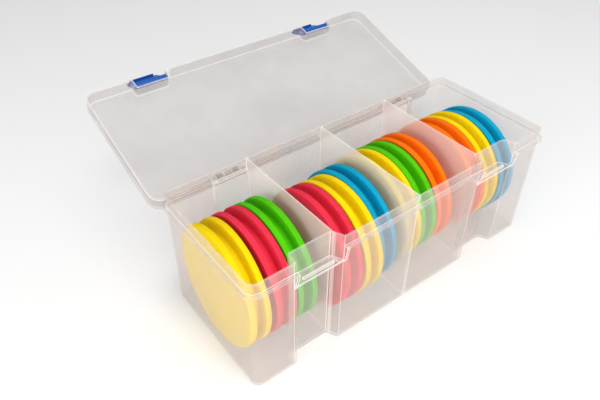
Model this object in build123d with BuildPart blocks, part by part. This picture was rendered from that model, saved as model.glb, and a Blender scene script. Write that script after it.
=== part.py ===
from build123d import *
import os
from math import cos, radians, sin, sqrt

# A clear plastic storage box with a hinged lid, two swing latches and twelve foam rig spools.
# X runs along the box, Y from its front to its back and Z up. The origin is the middle of
# its underside. Every piece is drawn where it stands when the box is shut. The lid and the
# latches are then swung open about the hinge and about their own pivots.

# Tray
compartment_lengths = [84.2, 86.7, 84.2, 86.9]
box_depth = 135.8
box_height = 128.2
tray_wall = 1.6
floor_thickness = 2.0
divider_thickness = 1.6
corner_radius = 8.0
floor_edge_radius = 3.0
rim_edge_radius = 0.5

# Flange round the tray that the lid comes down on
flange_drop = 10.5
flange_thickness = 2.2
flange_reach = 3.8
flange_edge_radius = 0.8

# Latch recesses in the front wall, with the catch shelf that each latch hooks under
recess_spacing = 215.3
recess_width = 47.7
recess_depth = 11.4
recess_slant = 6.0
recess_mouth_radius = 1.2
recess_corner_radius = 2.0
recess_bend_radius = 5.0
shelf_drop = 26.5
shelf_thickness = 1.5
shelf_bar_length = 32.0
shelf_bar_width = 1.5
shelf_bar_height = 2.0
shelf_bar_setback = 2.6
mouth_rib_width = 2.5
mouth_rib_foot = 0.6

# Lid
lid_gap = 3.0
lid_wall = 1.5
lid_plate = 1.6
lid_rise = 4.7
lid_seat_gap = 0.2
lid_edge_radius = 1.2
lid_open_angle = 161.2
dish_margin = 4.0
panel_length = 294.0
panel_depth = 81.0
panel_shift = 0.9
panel_sink = 2.9
pocket_mouth_radius = 2.0
pocket_corner_radius = 0.8
pocket_bend_radius = 1.5

# Hinge
hinge_spacing = 212.4
hinge_length = 37.0
hinge_out = 7.0
hinge_drop = 14.8
hinge_recess_depth = 2.5
hinge_bar_radius = 2.0
hinge_clearance = 0.1
lug_thickness = 3.0
lug_radius = 4.2
hook_wall = 1.9
hook_width = 9.0
hook_spacing = 17.0
hook_mouth = 3.4
hook_mouth_angle = -150.0
stop_tail_width = 2.0
stop_gap = 0.2

# Latches
latch_length = 35.2
latch_side_play = 0.4
latch_open_angle = 125.0
latch_pivot_inset = 4.8
latch_pivot_height = 6.2
latch_barrel_radius = 3.0
latch_pin_radius = 1.2
latch_pin_clearance = 0.08
pin_end_gap = 0.2
bearing_wall = 1.5
bearing_setback = 1.2
latch_plate = 2.2
latch_hook_reach = 2.2
latch_hook_height = 1.8
latch_hook_gap = 0.2
latch_corner_radius = 4.0

# Foam spools
spool_diameter = 116.5
spool_thickness = 20.5
spool_edge_radius = 1.6
groove_edge_radius = 0.8
groove_width = 9.4
groove_foot_width = 6.2
groove_depth = 11.5
groove_foot_radius = 2.4
spool_gap = 0.3

# What is free beside the spools of each compartment, from its left wall to its right wall
spool_spaces = [
    [6.1, 5.8, 1.3, 9.5],
    [11.9, 3.3, 0.6, 9.4],
    [5.3, 0.8, 2.6, 14.0],
    [13.0, 0.6, 1.0, 10.8],
]
# Each spool's colour, how far it has rolled, from -1 at the front wall to 1 at the back wall,
# and how many degrees its top leans to the right
spool_places = [
    [("yellow", 0.45, 2.0), ("red", -1.0, 0.0), ("green", -1.0, 0.0)],
    [("red", -0.83, 2.2), ("yellow", -0.87, 0.0), ("blue", -0.31, 0.0)],
    [("yellow", 0.25, 0.0), ("green", 0.39, 0.0), ("orange", 0.52, 0.0)],
    [("orange", -1.0, 0.0), ("yellow", -1.0, 0.0), ("blue", 0.19, 0.0)],
]

# Sizes and places that follow from the ones above
box_length = (
    sum(compartment_lengths) + (len(compartment_lengths) - 1) * divider_thickness + 2 * tray_wall
)
front_face = -box_depth / 2
back_face = box_depth / 2
flange_top = box_height - flange_drop
flange_bottom = flange_top - flange_thickness
shelf_top = box_height - shelf_drop
shelf_bottom = shelf_top - shelf_thickness
recess_centres = [-recess_spacing / 2, recess_spacing / 2]
recess_back = front_face + recess_depth
recess_slope = recess_slant / recess_depth
lid_reach = lid_gap + lid_wall
lid_front = front_face - lid_reach
lid_back = back_face + lid_reach
lid_edge = flange_top + lid_seat_gap
lid_top = box_height + lid_rise
lid_underside = lid_top - lid_plate
hinge_centres = [-hinge_spacing / 2, hinge_spacing / 2]
hinge_recess_face = back_face - hinge_recess_depth
hinge_y = back_face + hinge_out
hinge_z = box_height - hinge_drop
hook_bore = hinge_bar_radius + hinge_clearance
hook_radius = hook_bore + hook_wall
pivot_y = lid_front + latch_pivot_inset
pivot_z = lid_edge + latch_pivot_height
recess_radii = (recess_mouth_radius, recess_corner_radius, recess_bend_radius)
pocket_radii = (pocket_mouth_radius, pocket_corner_radius, pocket_bend_radius)
pocket_left = -recess_width / 2 + lid_reach
bearing_place = pocket_left + latch_length + 2 * latch_side_play
latch_foot = shelf_bottom - latch_hook_gap - latch_hook_height
latch_pin_reach = latch_side_play + bearing_wall - pin_end_gap
stop_tail_reach = hinge_y - hinge_recess_face - stop_gap
compartment_starts = [
    -box_length / 2 + tray_wall + sum(compartment_lengths[:n]) + n * divider_thickness
    for n in range(len(compartment_lengths))
]
divider_places = [start - divider_thickness / 2 for start in compartment_starts[1:]]
cutter = 40.0

os.makedirs("parts", exist_ok=True)


def recess_corners(reach):
    """The recess in plan about its own middle, for an outline that stands reach off the tray."""
    slant_shift = reach * sqrt(1 + recess_slope**2)
    left = -recess_width / 2 + reach
    right = recess_width / 2 - slant_shift
    inner = recess_back - reach
    outer = front_face - cutter
    return [
        (left, outer),
        (left, inner),
        (right - recess_slope * (inner - front_face), inner),
        (right - recess_slope * (outer - front_face), outer),
    ]


def notched_outline(reach, skin, mouth_radius, inner_radius, bend_radius):
    """The box in plan with its latch recesses, reach outside the tray's faces.

    The radii are those of a moulding's outer face, and skin is how far inside it this is.
    """
    inner_edge = recess_back - reach
    front_edge = front_face - reach
    with BuildSketch() as outline:
        RectangleRounded(box_length + 2 * reach, box_depth + 2 * reach, corner_radius + reach)
        with Locations(*[(x, 0) for x in recess_centres]):
            Polygon(*recess_corners(reach), align=None, mode=Mode.SUBTRACT)
        for first, radius in ((0, inner_radius), (1, bend_radius)):
            inner = outline.vertices().filter_by(lambda v: abs(v.Y - inner_edge) < 0.01)
            fillet(inner.sort_by(Axis.X)[first::2], radius + skin)
        if mouth_radius > skin:
            front = outline.vertices().filter_by(lambda v: abs(v.Y - front_edge) < 0.01)
            fillet(front.sort_by(Axis.X)[1:5], mouth_radius - skin)
    return outline.sketch


def swung_open(frame, axis_y, axis_z, angle):
    """The frame after it has turned by angle about the lengthwise line at axis_y, axis_z in it."""
    turn = radians(-angle)
    origin = Vector(
        0,
        axis_y - axis_y * cos(turn) + axis_z * sin(turn),
        axis_z - axis_y * sin(turn) - axis_z * cos(turn),
    )
    upright = Vector(0, -sin(turn), cos(turn))
    start = frame.from_local_coords(origin)
    return Plane(
        origin=start, x_dir=(1, 0, 0), z_dir=frame.from_local_coords(origin + upright) - start
    )


def side_plane(frame, x):
    """The plane across the box at x, whose own two directions are the frame's Y and Z."""
    start = frame.from_local_coords(Vector(x, 0, 0))
    return Plane(
        origin=start,
        x_dir=frame.from_local_coords(Vector(x, 1, 0)) - start,
        z_dir=frame.from_local_coords(Vector(x + 1, 0, 0)) - start,
    )


lid_frame = swung_open(Plane.XY, hinge_y, hinge_z, lid_open_angle)
lid_up = Axis(lid_frame.origin, lid_frame.z_dir)
latch_frame = swung_open(lid_frame, pivot_y, pivot_z, latch_open_angle)
latch_up = Axis(latch_frame.origin, latch_frame.z_dir)


# Flange: a band round the tray, cut away at the latch recesses and at the hinges
with BuildPart() as flange:
    with BuildSketch(Plane.XY.offset(flange_bottom)):
        RectangleRounded(
            box_length + 2 * flange_reach, box_depth + 2 * flange_reach, corner_radius + flange_reach
        )
    extrude(amount=flange_thickness)
    fillet(flange.edges().filter_by(Plane.XY), flange_edge_radius)
    with BuildSketch(Plane.XY.offset(flange_bottom)):
        RectangleRounded(box_length - tray_wall, box_depth - tray_wall, corner_radius - tray_wall / 2)
        with Locations(*[(x, 0) for x in recess_centres]):
            Polygon(*recess_corners(0), align=None)
        with Locations(*[(x, back_face + cutter / 2) for x in hinge_centres]):
            Rectangle(hinge_length, cutter)
    extrude(amount=flange_thickness, mode=Mode.SUBTRACT)

# Outer block of the tray, with its rounded lower edge
with BuildPart() as tray_block:
    with BuildSketch():
        RectangleRounded(box_length, box_depth, corner_radius)
    extrude(amount=box_height)
    fillet(tray_block.faces().sort_by(Axis.Z)[0].edges(), floor_edge_radius)

# Tray: one moulding with its dividers, flange, catch shelves and hinge bars
with BuildPart() as tray:
    with BuildSketch():
        add(notched_outline(0, 0, *recess_radii))
    extrude(amount=box_height)
    add(tray_block.part, mode=Mode.INTERSECT)
    with BuildSketch(Plane.XY.offset(floor_thickness)):
        add(notched_outline(-tray_wall, tray_wall, *recess_radii))
        with Locations(*[(x, 0) for x in divider_places]):
            Rectangle(divider_thickness, box_depth, mode=Mode.SUBTRACT)
    extrude(amount=box_height, mode=Mode.SUBTRACT)
    fillet(tray.faces().sort_by(Axis.Z)[-1].edges(), rim_edge_radius)
    add(flange.part)

    # The back wall steps in behind each hinge, below the flange
    with BuildSketch():
        with Locations(*[(x, hinge_recess_face) for x in hinge_centres]):
            Rectangle(hinge_length + 2 * tray_wall, 2 * tray_wall)
    extrude(amount=flange_bottom + tray_wall)
    with BuildSketch():
        with Locations(*[(x, hinge_recess_face + cutter / 2) for x in hinge_centres]):
            Rectangle(hinge_length, cutter)
    extrude(amount=flange_bottom, mode=Mode.SUBTRACT)

    # Two lugs at each hinge carry a bar that the lid's hooks go round
    for centre in hinge_centres:
        for side in (-1, 1):
            with BuildSketch(side_plane(Plane.XY, centre + side * hinge_length / 2)):
                with Locations((hinge_y, hinge_z)):
                    Circle(lug_radius)
                with Locations(((hinge_recess_face - tray_wall / 2 + hinge_y) / 2, hinge_z)):
                    Rectangle(hinge_out + hinge_recess_depth + tray_wall / 2, 2 * lug_radius)
            extrude(amount=-side * lug_thickness)
        with BuildSketch(side_plane(Plane.XY, centre - hinge_length / 2)):
            with Locations((hinge_y, hinge_z)):
                Circle(hinge_bar_radius)
        extrude(amount=hinge_length)

    # Catch shelf across each recess, with the bar on it
    with BuildSketch(Plane.XY.offset(shelf_bottom)):
        with Locations(*[(x, 0) for x in recess_centres]):
            Polygon(*recess_corners(-tray_wall / 2), align=None)
        with Locations((0, front_face - cutter / 2)):
            Rectangle(box_length, cutter, mode=Mode.SUBTRACT)
    extrude(amount=shelf_thickness)
    with BuildSketch(Plane.XY.offset(shelf_top)):
        with Locations(*[(x, front_face + shelf_bar_setback) for x in recess_centres]):
            Rectangle(shelf_bar_length, shelf_bar_width, align=(Align.CENTER, Align.MIN))
    extrude(amount=shelf_bar_height)

    # A rib runs down each side of a recess mouth, from the flange to the shelf
    for centre in recess_centres:
        for side in (-1, 1):
            with BuildSketch(side_plane(Plane.XY, centre + side * recess_width / 2)):
                Polygon(
                    (front_face + recess_mouth_radius, flange_top),
                    (front_face - flange_reach, flange_top),
                    (front_face - flange_reach, flange_bottom),
                    (front_face - mouth_rib_foot, shelf_bottom),
                    (front_face + recess_mouth_radius, shelf_bottom),
                    align=None,
                )
            extrude(amount=side * mouth_rib_width)
tray.part.label = "tray"
export_step(tray.part, "parts/tray.step")

# Lid: a shallow shell whose top dishes down to a flat panel
with BuildPart() as lid:
    with BuildSketch(lid_frame.offset(lid_underside)):
        RectangleRounded(
            box_length + 2 * lid_reach, box_depth + 2 * lid_reach, corner_radius + lid_reach
        )
    extrude(amount=lid_plate)
    fillet(lid.faces().sort_by(lid_up)[-1].edges(), lid_edge_radius)
    for height, mode in ((lid_underside, Mode.ADD), (lid_top, Mode.SUBTRACT)):
        with BuildSketch(lid_frame.offset(height)):
            Rectangle(
                box_length + 2 * (lid_reach - dish_margin), box_depth + 2 * (lid_reach - dish_margin)
            )
        with BuildSketch(lid_frame.offset(height - panel_sink)):
            with Locations((0, panel_shift)):
                Rectangle(panel_length, panel_depth)
        loft(ruled=True, mode=mode)

    # The skirt follows the latch recesses, so that each makes a pocket for its latch
    with BuildSketch(lid_frame.offset(lid_edge)):
        add(notched_outline(lid_reach, 0, *pocket_radii))
        add(notched_outline(lid_gap, lid_wall, *pocket_radii), mode=Mode.SUBTRACT)
    extrude(amount=lid_underside - lid_edge)
    for centre in recess_centres:
        with BuildSketch(lid_frame.offset(lid_edge)):
            with Locations((centre, 0)):
                Polygon(*recess_corners(lid_gap), align=None)
            with Locations((centre + bearing_place, lid_front + bearing_setback)):
                Rectangle(
                    bearing_wall, cutter, align=(Align.MIN, Align.MIN), mode=Mode.INTERSECT
                )
        extrude(amount=lid_underside - lid_edge)
        with BuildSketch(side_plane(lid_frame, centre + pocket_left - lid_wall)):
            with Locations((pivot_y, pivot_z)):
                Circle(latch_pin_radius + latch_pin_clearance)
        extrude(amount=lid_wall + bearing_place - pocket_left + bearing_wall, mode=Mode.SUBTRACT)

    # Hooks that go round the hinge bars, with a tail that meets the back wall when the lid is open
    for centre in hinge_centres:
        for side in (-1, 1):
            hook_middle = centre + side * hook_spacing / 2
            with BuildSketch(side_plane(lid_frame, hook_middle - hook_width / 2)):
                Polygon(
                    (lid_back, lid_edge + lid_wall),
                    (lid_back - lid_wall, lid_edge + lid_wall),
                    (lid_back - lid_wall, hinge_z),
                    (hinge_y, hinge_z),
                    (hinge_y, hinge_z + hook_radius),
                    align=None,
                )
                with Locations((hinge_y, hinge_z)):
                    Circle(hook_radius)
                    Rectangle(
                        stop_tail_reach,
                        stop_tail_width,
                        rotation=lid_open_angle - 180,
                        align=(Align.MIN, Align.CENTER),
                    )
                    Circle(hook_bore, mode=Mode.SUBTRACT)
                    Rectangle(
                        2 * hook_radius,
                        hook_mouth,
                        rotation=hook_mouth_angle,
                        align=(Align.MIN, Align.CENTER),
                        mode=Mode.SUBTRACT,
                    )
            extrude(amount=hook_width)
lid.part.label = "lid"
export_step(lid.part, "parts/lid.step")

# Latches: a barrel on two pins, with a plate that swings down and hooks under the shelf
for centre, name in zip(recess_centres, ("latch_left", "latch_right")):
    latch_start = centre + pocket_left + latch_side_play
    with BuildPart() as latch:
        with BuildSketch(side_plane(latch_frame, latch_start)):
            with Locations((pivot_y, pivot_z)):
                Circle(latch_barrel_radius)
            with Locations((pivot_y - latch_barrel_radius, pivot_z)):
                Rectangle(latch_plate, pivot_z - latch_foot, align=(Align.MIN, Align.MAX))
        extrude(amount=latch_length)
        corners = latch.edges().filter_by(Axis(latch_frame.origin, latch_frame.y_dir))
        fillet(corners.sort_by(latch_up)[:2], latch_corner_radius)
        with BuildSketch(side_plane(latch_frame, latch_start + latch_corner_radius)):
            with Locations((pivot_y - latch_barrel_radius + latch_plate / 2, latch_foot)):
                Rectangle(
                    latch_plate / 2 + latch_hook_reach,
                    latch_hook_height,
                    align=(Align.MIN, Align.MIN),
                )
        extrude(amount=latch_length - 2 * latch_corner_radius)
        with BuildSketch(side_plane(latch_frame, latch_start - latch_pin_reach)):
            with Locations((pivot_y, pivot_z)):
                Circle(latch_pin_radius)
        extrude(amount=latch_length + 2 * latch_pin_reach)
    latch.part.label = name
    export_step(latch.part, f"parts/{name}.step")

# Spools: foam discs with rounded edges and a deep groove for the line
spool_number = 0
for start, length, spaces, places in zip(
    compartment_starts, compartment_lengths, spool_spaces, spool_places
):
    spare = length - len(places) * spool_thickness
    spool_left = start
    for space, (colour, roll, lean) in zip(spaces, places):
        spool_left += spare * space / sum(spaces)
        x = spool_left + spool_thickness / 2
        spool_left += spool_thickness
        lean_cos, lean_sin = cos(radians(lean)), sin(radians(lean))
        edge_height = spool_diameter / 2 - spool_edge_radius
        edge_place = spool_thickness / 2 - spool_edge_radius
        z = floor_thickness + spool_gap + spool_edge_radius
        z += edge_height * lean_cos + edge_place * lean_sin
        front_stop = front_face + tray_wall
        if any(abs(x - c) < (recess_width + spool_thickness) / 2 + tray_wall for c in recess_centres):
            front_stop += recess_depth
        back_stop = back_face - tray_wall
        if any(abs(x - c) < (hinge_length + spool_thickness) / 2 + tray_wall for c in hinge_centres):
            back_stop -= hinge_recess_depth
        play = (back_stop - front_stop - spool_diameter) / 2 - spool_gap
        y = (front_stop + back_stop) / 2 + roll * play
        spool_number += 1
        with BuildPart() as spool:
            frame = Plane(origin=(x, y, z), x_dir=(lean_cos, 0, -lean_sin), z_dir=(0, -1, 0))
            with BuildSketch(frame) as section:
                with BuildLine():
                    Polyline(
                        (-spool_thickness / 2, 0),
                        (-spool_thickness / 2, spool_diameter / 2),
                        (-groove_width / 2, spool_diameter / 2),
                        (-groove_foot_width / 2, spool_diameter / 2 - groove_depth),
                        (groove_foot_width / 2, spool_diameter / 2 - groove_depth),
                        (groove_width / 2, spool_diameter / 2),
                        (spool_thickness / 2, spool_diameter / 2),
                        (spool_thickness / 2, 0),
                        close=True,
                    )
                make_face()
                for height, width, radius in (
                    (spool_diameter / 2, spool_thickness, spool_edge_radius),
                    (spool_diameter / 2, groove_width, groove_edge_radius),
                    (spool_diameter / 2 - groove_depth, groove_foot_width, groove_foot_radius),
                ):
                    corners = section.vertices().filter_by(lambda v: abs(abs(v.X) - width / 2) < 0.01)
                    fillet(corners.filter_by(lambda v: abs(v.Y - height) < 0.01), radius)
            revolve(axis=Axis((x, y, z), (lean_cos, 0, -lean_sin)))
        spool.part.label = f"spool_{spool_number}_{colour}"
        export_step(spool.part, f"parts/{spool.part.label}.step")
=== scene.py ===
import math

import bpy
from mathutils import Matrix, Vector

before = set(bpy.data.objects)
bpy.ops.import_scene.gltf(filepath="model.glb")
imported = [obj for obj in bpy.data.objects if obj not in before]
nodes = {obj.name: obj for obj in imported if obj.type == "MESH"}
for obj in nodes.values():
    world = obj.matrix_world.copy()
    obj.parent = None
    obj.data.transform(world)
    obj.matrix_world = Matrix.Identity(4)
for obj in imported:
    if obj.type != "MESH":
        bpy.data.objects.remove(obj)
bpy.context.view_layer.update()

# Tray
# One injection moulding in natural polypropylene: floor, walls, three dividers, flange, latch
# recesses and hinge bars. The plastic is clear but milky, so that colours behind it look paler.
# It is milkier seen edge on. In the dividers it is paler and more opaque, a painted glow for
# the light scattered through them, and along its rims and edges it is whiter and more opaque,
# a painted highlight.
tray_length = 0.350
wall = 0.0016
compartments_before_dividers = (0.0842, 0.0867, 0.0842)
divider_margin = 0.00005
divider_half = wall / 2 + divider_margin
# The dividers' paler, more opaque milk is partly real haze and partly a painted glow for the
# light scattered through them from behind.
divider_milk_and_glow = 0.45
divider_glow_colour = (0.92, 0.86, 0.83)
tray_milk_face_on = 0.25
tray_milk_colour = (0.61, 0.53, 0.485)
milk_edge_on = 0.6
edge_on_blend = 0.5
edge_on_power = 4
# Rims and edges are painted whiter and more opaque: a painted highlight for the light that
# catches and leaves the plastic's edges.
rim_highlight_share = 0.9
rim_highlight_colour = (0.93, 0.91, 0.90)
rim_reach = 0.0015
rim_samples = 12
rim_full_cosine = 0.93
milk_in_shadows = 0.4
haze_share = 0.3
haze_ior = 1.06
haze_roughness = 0.6
gloss_ior = 2.0
gloss_roughness = 0.14
cloud_size = 0.045
cloud_detail = 3
cloud_range = (0.3, 0.7)
cloud_strength = 0.03
peel_size = 0.0022
peel_detail = 2
peel_height = 0.00001


def new_material(name):
    """A material with only a Principled shader and its output, with its node tree and shader."""
    material = bpy.data.materials.new(name)
    material.use_nodes = True
    tree = material.node_tree
    tree.nodes.clear()
    output = tree.nodes.new("ShaderNodeOutputMaterial")
    shader = tree.nodes.new("ShaderNodeBsdfPrincipled")
    tree.links.new(shader.outputs["BSDF"], output.inputs["Surface"])
    return material, tree, shader


def place_in_object(tree):
    """The socket that gives a point's place on the piece, in metres."""
    return tree.nodes.new("ShaderNodeTexCoord").outputs["Object"]


def noise_at(tree, place, size, detail):
    """A noise of that grain size in metres, as a socket from 0 to 1."""
    noise = tree.nodes.new("ShaderNodeTexNoise")
    noise.inputs["Scale"].default_value = 1 / size
    noise.inputs["Detail"].default_value = detail
    tree.links.new(place, noise.inputs["Vector"])
    return noise.outputs["Fac"]


def ranged(tree, value, old_range, new_range):
    """The value moved from the old range into the new one, and held inside it."""
    span = tree.nodes.new("ShaderNodeMapRange")
    span.inputs["From Min"].default_value, span.inputs["From Max"].default_value = old_range
    span.inputs["To Min"].default_value, span.inputs["To Max"].default_value = new_range
    tree.links.new(value, span.inputs["Value"])
    return span.outputs["Result"]


def calculated(tree, operation, *values):
    """The result of one Math node on these sockets or numbers."""
    math_node = tree.nodes.new("ShaderNodeMath")
    math_node.operation = operation
    for socket, value in zip(math_node.inputs, values):
        if isinstance(value, bpy.types.NodeSocket):
            tree.links.new(value, socket)
        else:
            socket.default_value = value
    return math_node.outputs[0]


def mixed_colour(tree, share, first, second):
    """The first colour, a value or a socket, where share is 0 and the second where it is 1."""
    mix = tree.nodes.new("ShaderNodeMix")
    mix.data_type = "RGBA"
    # The node has sockets for numbers and vectors too, and those for colours come after them.
    first_socket, second_socket, result = mix.inputs[6], mix.inputs[7], mix.outputs[2]
    if isinstance(first, bpy.types.NodeSocket):
        tree.links.new(first, first_socket)
    else:
        first_socket.default_value = (*first, 1)
    second_socket.default_value = (*second, 1)
    tree.links.new(share, mix.inputs["Factor"])
    return result


def bump(tree, height, distance, strength=1.0):
    """A bump from a height socket, as a normal for the shader."""
    node = tree.nodes.new("ShaderNodeBump")
    node.inputs["Strength"].default_value = strength
    node.inputs["Distance"].default_value = distance
    tree.links.new(height, node.inputs["Height"])
    return node.outputs["Normal"]


def rim_mask(tree):
    """A socket that is 0 on flat stretches and rises to 1 at edges and thin rims, where a
    highlight is painted.
    """
    rounded = tree.nodes.new("ShaderNodeBevel")
    rounded.inputs["Radius"].default_value = rim_reach
    rounded.samples = rim_samples
    surface = tree.nodes.new("ShaderNodeNewGeometry")
    cosine = tree.nodes.new("ShaderNodeVectorMath")
    cosine.operation = "DOT_PRODUCT"
    tree.links.new(rounded.outputs["Normal"], cosine.inputs[0])
    tree.links.new(surface.outputs["Normal"], cosine.inputs[1])
    return ranged(tree, cosine.outputs["Value"], (1, rim_full_cosine), (0, 1))


def divider_mask(tree, place):
    """A socket that is 1 within the thickness of the tray's dividers and 0 elsewhere."""
    along = tree.nodes.new("ShaderNodeSeparateXYZ")
    tree.links.new(place, along.inputs["Vector"])
    mask = 0
    divider_place = -tray_length / 2 + wall / 2
    for compartment in compartments_before_dividers:
        divider_place += compartment + wall
        here = calculated(tree, "COMPARE", along.outputs["X"], divider_place, divider_half)
        mask = calculated(tree, "MAXIMUM", mask, here)
    return mask


def wall_milk(tree, place, face_on):
    """The share of milk in a plain wall, as a socket: cloudy, and higher seen edge on."""
    facing = tree.nodes.new("ShaderNodeLayerWeight")
    facing.inputs["Blend"].default_value = edge_on_blend
    edge_on = calculated(tree, "POWER", facing.outputs["Facing"], edge_on_power)
    milk = ranged(tree, edge_on, (0, 1), (face_on, milk_edge_on))
    clouds = noise_at(tree, place, cloud_size, cloud_detail)
    clouds = ranged(tree, clouds, cloud_range, (-cloud_strength, cloud_strength))
    return calculated(tree, "ADD", milk, clouds)


def clear_polypropylene(name, colour, face_on, has_dividers=False):
    """The milky plastic: its milk, with a painted glow in the dividers and a painted highlight
    at its edges, is the shader's alpha, under a clear coat for the gloss.
    """
    material, tree, shader = new_material(name)
    place = place_in_object(tree)
    milk = wall_milk(tree, place, face_on)
    if has_dividers:
        dividers = divider_mask(tree, place)
        # Paler, more opaque milk in the dividers: real haze plus a painted glow for light
        # passing through.
        milk_and_painted_light_there = calculated(tree, "MULTIPLY", dividers, divider_milk_and_glow)
        milk = calculated(tree, "MAXIMUM", milk, milk_and_painted_light_there)
        colour = mixed_colour(tree, dividers, colour, divider_glow_colour)
    # Edges and rims get a whiter, more opaque milk: a painted highlight.
    rims = rim_mask(tree)
    milk_and_painted_light_there = calculated(tree, "MULTIPLY", rims, rim_highlight_share)
    milk = calculated(tree, "MAXIMUM", milk, milk_and_painted_light_there)
    colour = mixed_colour(tree, rims, colour, rim_highlight_colour)
    # Most of the light that the milk scatters still goes on through the wall, so the wall's
    # shadow is fainter than the wall.
    shadow_ray = tree.nodes.new("ShaderNodeLightPath").outputs["Is Shadow Ray"]
    passing = ranged(tree, shadow_ray, (0, 1), (1, milk_in_shadows))
    milk = calculated(tree, "MULTIPLY", milk, passing)
    peel = noise_at(tree, place, peel_size, peel_detail)
    tree.links.new(colour, shader.inputs["Base Color"])
    tree.links.new(milk, shader.inputs["Alpha"])
    tree.links.new(bump(tree, peel, peel_height), shader.inputs["Normal"])
    shader.inputs["Roughness"].default_value = haze_roughness
    shader.inputs["IOR"].default_value = haze_ior
    shader.inputs["Transmission Weight"].default_value = haze_share
    shader.inputs["Coat Weight"].default_value = 1.0
    shader.inputs["Coat IOR"].default_value = gloss_ior
    shader.inputs["Coat Roughness"].default_value = gloss_roughness
    return material


def finish_node(name, material):
    """Gives a CAD node's mesh this one material."""
    nodes[name].data.materials.clear()
    nodes[name].data.materials.append(material)


clear_tray = clear_polypropylene(
    "clear_tray", tray_milk_colour, tray_milk_face_on, has_dividers=True
)
finish_node("tray", clear_tray)

# Lid
# One moulding in the same plastic as the tray. Its milk is painted greyer than the tray's, a
# painted shade for the lid's own shadow on the floor seen through its panel. Its hooks are
# snapped round the tray's hinge bars.
# Greyer milk than the tray's: painted shade for the shadow seen through the lid.
lid_shaded_milk_colour = (0.41, 0.36, 0.335)
lid_milk_face_on = 0.26
clear_lid = clear_polypropylene("clear_lid", lid_shaded_milk_colour, lid_milk_face_on)
finish_node("lid", clear_lid)

# Latches
# Two blue polypropylene mouldings, coloured right through, with a satin surface. Each is
# snapped into its pocket at the lid's free edge by the two pins moulded on it.
latch_colour = (0.0, 0.075, 0.36, 1.0)
latch_ior = 1.49
latch_gloss = 0.3
latch_roughness = 0.32
latch_grain_size = 0.0012
latch_grain_detail = 2


def latch_plastic():
    """The satin blue plastic, with a fine grain as deep as the tray's orange peel."""
    material, tree, shader = new_material("latch_blue")
    place = place_in_object(tree)
    grain = noise_at(tree, place, latch_grain_size, latch_grain_detail)
    tree.links.new(bump(tree, grain, peel_height), shader.inputs["Normal"])
    shader.inputs["Base Color"].default_value = latch_colour
    shader.inputs["Roughness"].default_value = latch_roughness
    shader.inputs["IOR"].default_value = latch_ior
    shader.inputs["Specular IOR Level"].default_value = latch_gloss
    return material


latch_blue = latch_plastic()
for name in ("latch_left", "latch_right"):
    finish_node(name, latch_blue)

# Spools
# Twelve discs cut from closed-cell foam, each with a groove turned into its edge. The foam is
# coloured right through, matte, faintly mottled and full of fine cells. The spools stand on
# edge in the tray, held by nothing but its walls and each other.
foam_colours = {
    "yellow": (0.83, 0.61, 0.0),
    "red": (0.74, 0.028, 0.062),
    "green": (0.075, 0.50, 0.0),
    "blue": (0.0, 0.31, 0.50),
    "orange": (0.90, 0.165, 0.0),
}
foam_roughness = 0.72
foam_gloss = 0.12
mottle_size = 0.006
mottle_detail = 3
mottle_range = (0.35, 0.65)
mottle_shade = 0.93
cell_size = 0.0006
cell_depth = 0.00004
cell_strength = 0.5


def foam(colour_name):
    """The matte foam in one of the five colours."""
    material, tree, shader = new_material("foam_" + colour_name)
    place = place_in_object(tree)
    colour = Vector(foam_colours[colour_name])
    mottle = noise_at(tree, place, mottle_size, mottle_detail)
    mottle = ranged(tree, mottle, mottle_range, (0, 1))
    mottled = mixed_colour(tree, mottle, colour * mottle_shade, colour)
    cells = tree.nodes.new("ShaderNodeTexVoronoi")
    cells.inputs["Scale"].default_value = 1 / cell_size
    tree.links.new(place, cells.inputs["Vector"])
    pores = bump(tree, cells.outputs["Distance"], cell_depth, cell_strength)
    tree.links.new(mottled, shader.inputs["Base Color"])
    tree.links.new(pores, shader.inputs["Normal"])
    shader.inputs["Roughness"].default_value = foam_roughness
    shader.inputs["Specular IOR Level"].default_value = foam_gloss
    return material


foams = {colour: foam(colour) for colour in foam_colours}
for name in nodes:
    if name.startswith("spool_"):
        finish_node(name, foams[name.split("_")[-1]])

# Floor
# A plain pale sheet of matte studio paper that the box stands on. It lies flat, and it is
# wide enough to fill the photograph's view.
floor_half = 15.0
paper_colour = (0.84, 0.84, 0.84, 1)
paper_roughness = 0.9
corner_directions = ((-1, -1), (1, -1), (1, 1), (-1, 1))
floor_corners = [(x * floor_half, y * floor_half, 0) for x, y in corner_directions]
floor_mesh = bpy.data.meshes.new("floor")
floor_mesh.from_pydata(floor_corners, [], [(0, 1, 2, 3)])
floor = bpy.data.objects.new("floor", floor_mesh)
bpy.context.scene.collection.objects.link(floor)
paper, _, paper_shader = new_material("studio_paper")
paper_shader.inputs["Base Color"].default_value = paper_colour
paper_shader.inputs["Roughness"].default_value = paper_roughness
floor_mesh.materials.append(paper)

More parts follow.
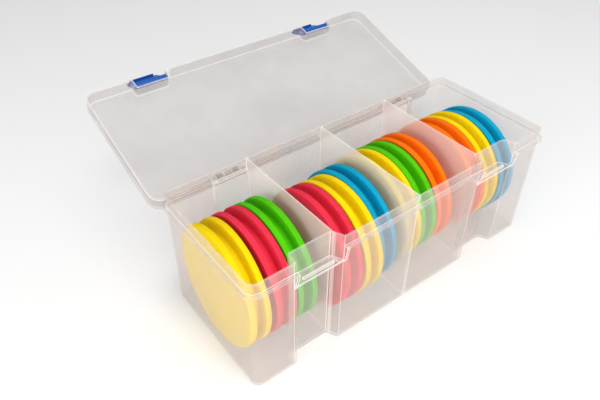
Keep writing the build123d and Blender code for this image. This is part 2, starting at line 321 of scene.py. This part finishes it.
# Light
# Soft white studio light: a bright white room, a small panel high over the box, and two
# larger and lower panels, one to its left and one in front of it.
room_colour = (1, 1, 1, 1)
room_brightness = 0.62
studio = bpy.data.worlds.new("studio")
bpy.context.scene.world = studio
studio.use_nodes = True
room = studio.node_tree.nodes["Background"]
room.inputs["Color"].default_value = room_colour
room.inputs["Strength"].default_value = room_brightness


def soft_panel(name, place, aim, size, power):
    """A square soft light at place, pointed at aim, with size in metres and power in watts."""
    lamp = bpy.data.lights.new(name, "AREA")
    lamp.shape = "SQUARE"
    lamp.size = size
    lamp.energy = power
    panel = bpy.data.objects.new(name, lamp)
    bpy.context.scene.collection.objects.link(panel)
    panel.location = place
    panel.rotation_mode = "QUATERNION"
    panel.rotation_quaternion = (Vector(aim) - Vector(place)).to_track_quat("-Z", "Y")


soft_panel("key_panel", place=(0.05, -0.45, 1.5), aim=(0, 0.05, 0.08), size=0.6, power=9)
soft_panel("left_panel", place=(-1.5, -0.4, 0.4), aim=(0, 0, 0.08), size=1.0, power=12.5)
soft_panel("front_panel", place=(-0.3, -1.5, 0.5), aim=(0, 0, 0.08), size=1.2, power=16)

# Camera
# It stands where the photograph was taken from: in front of the box, to its left and above
# it. Its place, turn and focal length were solved from the box's straight edges.
camera_place = Vector((-0.319706, -0.315455, 0.449792))
camera_azimuth = math.radians(-37.530)
camera_elevation = math.radians(39.939)
camera_roll = math.radians(0.404)
focal_pixels = 594.152
photo_width = 600
sensor_width = 36.0
nearest_seen = 0.01
camera = bpy.data.objects.new("camera", bpy.data.cameras.new("camera"))
camera.data.sensor_width = sensor_width
camera.data.lens = focal_pixels / photo_width * sensor_width
camera.data.clip_start = nearest_seen
back = Vector(
    (
        math.sin(camera_azimuth) * math.cos(camera_elevation),
        -math.cos(camera_azimuth) * math.cos(camera_elevation),
        math.sin(camera_elevation),
    )
)
level = Vector((0, 0, 1)).cross(back).normalized()
upright = back.cross(level)
right = level * math.cos(camera_roll) + upright * math.sin(camera_roll)
up = upright * math.cos(camera_roll) - level * math.sin(camera_roll)
camera_turn = Matrix((right, up, back)).transposed().to_4x4()
camera.matrix_world = Matrix.Translation(camera_place) @ camera_turn
bpy.context.scene.collection.objects.link(camera)
bpy.context.scene.camera = camera
bpy.context.scene.view_settings.view_transform = "Standard"
